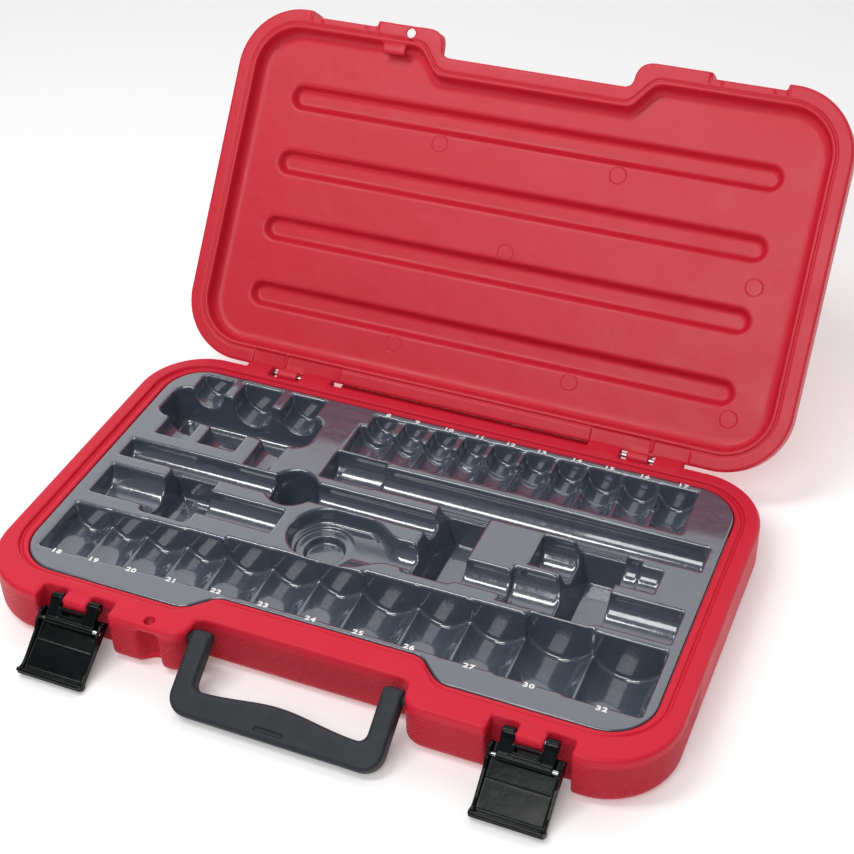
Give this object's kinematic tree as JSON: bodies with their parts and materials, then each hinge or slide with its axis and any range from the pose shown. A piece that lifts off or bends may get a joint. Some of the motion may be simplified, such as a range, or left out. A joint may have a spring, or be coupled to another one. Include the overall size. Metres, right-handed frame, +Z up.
{
  "type": "socket set case",
  "caption": "Flat hinged plastic carry case with a formed tool tray, two draw latches and a swinging handle, shown open and empty.",
  "frame": {"origin": "centre of the flat underside of the base shell, on the surface that the case lies on", "axes": "+X along the case from the small sockets' end to the large sockets' end, +Y from the handle and latches towards the hinges, +Z up"},
  "size_m": [0.462, 0.4908, 0.2455],
  "materials": {
    "shell_red": "satin moulded polyethylene",
    "tray_grey": "glossy thermoformed sheet",
    "latch_black": "gloss",
    "handle_grey": "matte",
    "pin_steel": "plated wire"
  },
  "bodies": {
    "base": {"base_shell": "shell_red", "tool_tray": "tray_grey", "hinge_pin_left": "pin_steel", "hinge_pin_right": "pin_steel", "latch_pin_left": "pin_steel", "latch_pin_right": "pin_steel"},
    "lid": {"lid_shell": "shell_red"},
    "handle": {"handle": "handle_grey"},
    "link_left": {"latch_link_left": "latch_black", "lever_pin_left": "pin_steel"},
    "link_right": {"latch_link_right": "latch_black", "lever_pin_right": "pin_steel"},
    "lever_left": {"latch_lever_left": "latch_black"},
    "lever_right": {"latch_lever_right": "latch_black"}
  },
  "joints": [
    {"name": "lid_hinge", "type": "hinge", "parent": "base", "child": "lid", "pos_m": [0, 0.1363, 0.0336], "axis": [1, 0, 0], "range_deg": [0, 127.25]},
    {"name": "handle_swing", "type": "hinge", "parent": "base", "child": "handle", "pos_m": [0, -0.1235, 0.03], "axis": [-1, 0, 0], "range_deg": [0, 58]},
    {"name": "link_swing_left", "type": "hinge", "parent": "base", "child": "link_left", "pos_m": [-0.152, -0.127, 0.0335], "axis": [1, 0, 0], "range_deg": [0, 42.9]},
    {"name": "link_swing_right", "type": "hinge", "parent": "base", "child": "link_right", "pos_m": [0.152, -0.127, 0.0335], "axis": [1, 0, 0], "range_deg": [0, 42.9]},
    {"name": "latch_left", "type": "hinge", "parent": "link_left", "child": "lever_left", "pos_m": [-0.152, -0.1379, 0.02397], "axis": [-1, 0, 0], "range_deg": [0, 165.4]},
    {"name": "latch_right", "type": "hinge", "parent": "link_right", "child": "lever_right", "pos_m": [0.152, -0.1379, 0.02397], "axis": [-1, 0, 0], "range_deg": [0, 165.4]}
  ],
  "couplings": [
    {"joint": "link_swing_left", "follows": "latch_left", "ratio": 0.25937},
    {"joint": "link_swing_right", "follows": "latch_right", "ratio": 0.25937}
  ]
}
